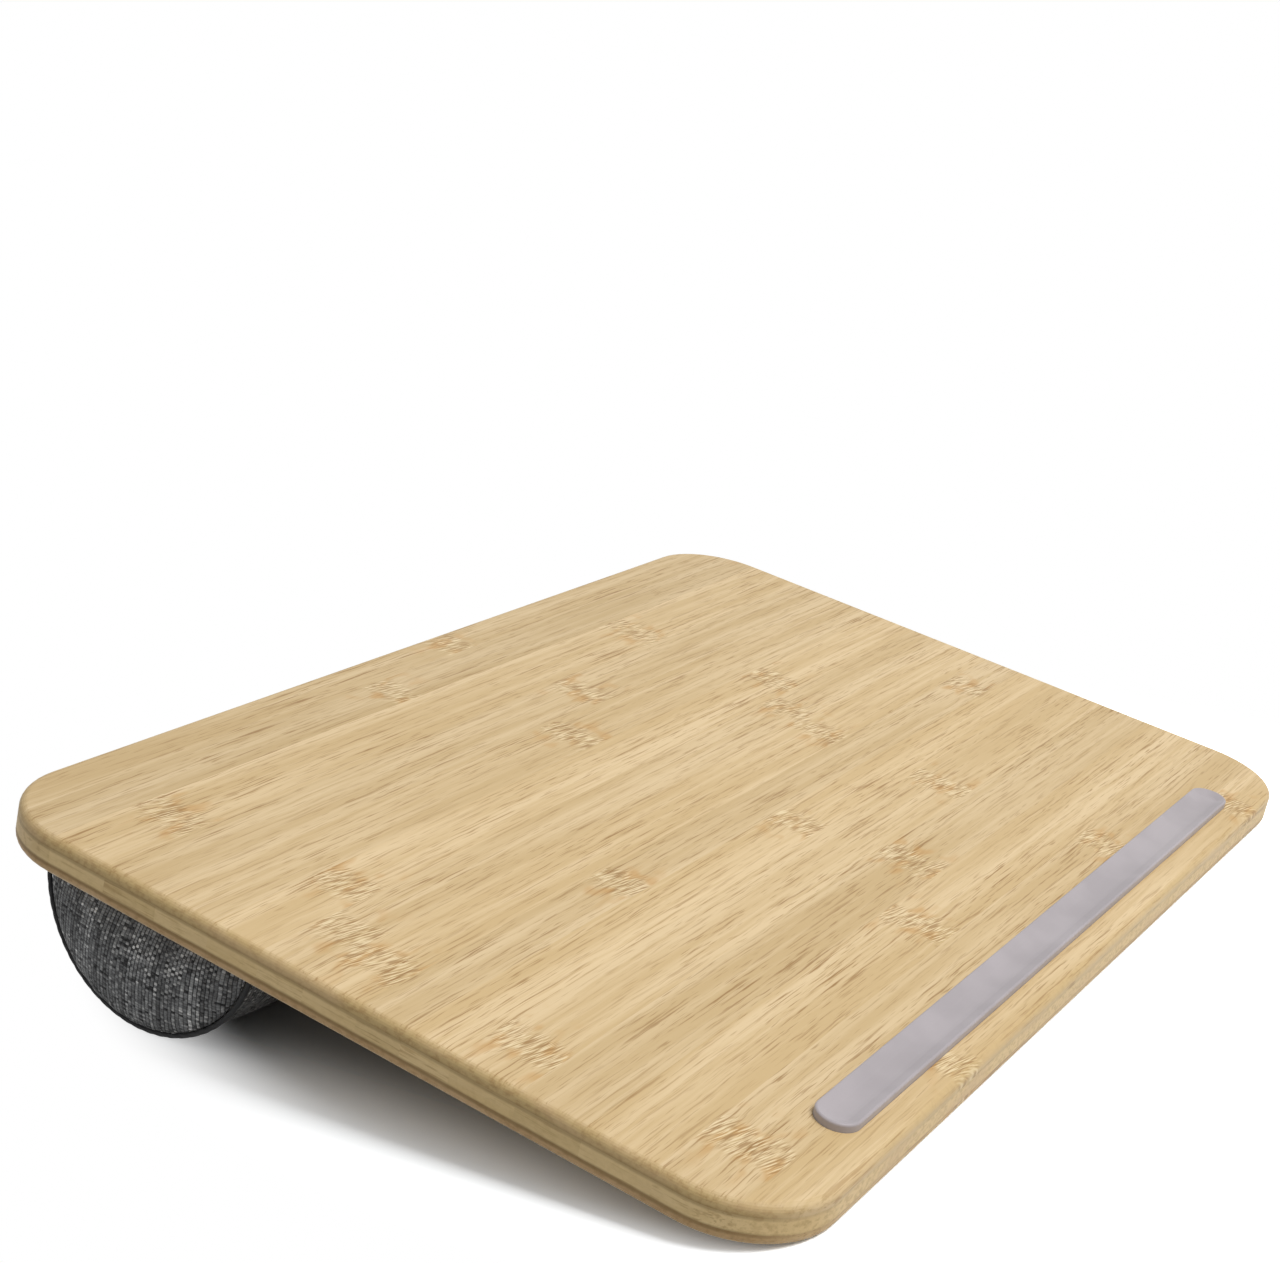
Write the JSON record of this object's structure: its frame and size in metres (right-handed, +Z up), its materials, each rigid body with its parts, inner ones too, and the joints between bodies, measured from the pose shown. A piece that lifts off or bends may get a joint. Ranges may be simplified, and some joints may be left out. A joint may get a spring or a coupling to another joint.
{
  "type": "lap desk",
  "caption": "Bamboo lap desk: flat rounded board with a front stopper strip, tilted on a detachable half-round cushion with a zipped cover.",
  "frame": {"origin": "centre of the footprint on the floor that the desk stands on, midway along the bounding box", "axes": "+X along the board's long side to the right, +Y to the raised back, +Z up; the board tilts 11.5 degrees down to the front"},
  "size_m": [0.42, 0.2662, 0.0645],
  "materials": {
    "bamboo_face": "satin",
    "bamboo_core": "satin",
    "bamboo_base": "satin",
    "silicone": "satin",
    "adhesive": "matte",
    "fastening_tape": "matte",
    "cover_cloth": "matte",
    "piping": "matte",
    "zip_tape": "matte",
    "zip_teeth": "satin",
    "zip_metal": "satin",
    "liner_cloth": "matte",
    "beads": "matte"
  },
  "bodies": {
    "board": {"top_ply": "bamboo_face", "core_ply": "bamboo_core", "bottom_ply": "bamboo_base", "stopper_strip": "silicone", "stopper_adhesive": "adhesive", "hook_tape_front": "fastening_tape", "hook_tape_rear": "fastening_tape"},
    "cushion": {"loop_tape_front": "fastening_tape", "loop_tape_rear": "fastening_tape", "cover_top_panel": "cover_cloth", "cover_main_panel": "cover_cloth", "cover_end_left": "cover_cloth", "cover_end_right": "cover_cloth", "piping_left": "piping", "piping_right": "piping", "zip_tape_upper": "zip_tape", "zip_tape_lower": "zip_tape", "zip_teeth_upper": "zip_teeth", "zip_teeth_lower": "zip_teeth", "zip_stop_left": "zip_metal", "zip_stop_right": "zip_metal", "liner": "liner_cloth", "bead_filling": "beads"},
    "zip_slider": {"zip_slider": "zip_metal"},
    "zip_pull_tab": {"zip_pull_tab": "zip_metal"}
  },
  "joints": [
    {"name": "cushion_detach", "type": "slide", "parent": "board", "child": "cushion", "axis": [0, 0.1986, -0.9801], "range_m": [0, 0.06]},
    {"name": "zip_slide", "type": "slide", "parent": "cushion", "child": "zip_slider", "axis": [-1, 0, 0], "range_m": [0, 0.29], "deforming": ["zip_teeth_upper", "zip_teeth_lower"]},
    {"name": "zip_tab_hinge", "type": "hinge", "parent": "zip_slider", "child": "zip_pull_tab", "pos_m": [0.1522, 0.11956, 0.0392], "axis": [0, -0.0499, 0.9988], "range_deg": [0, 170]}
  ]
}
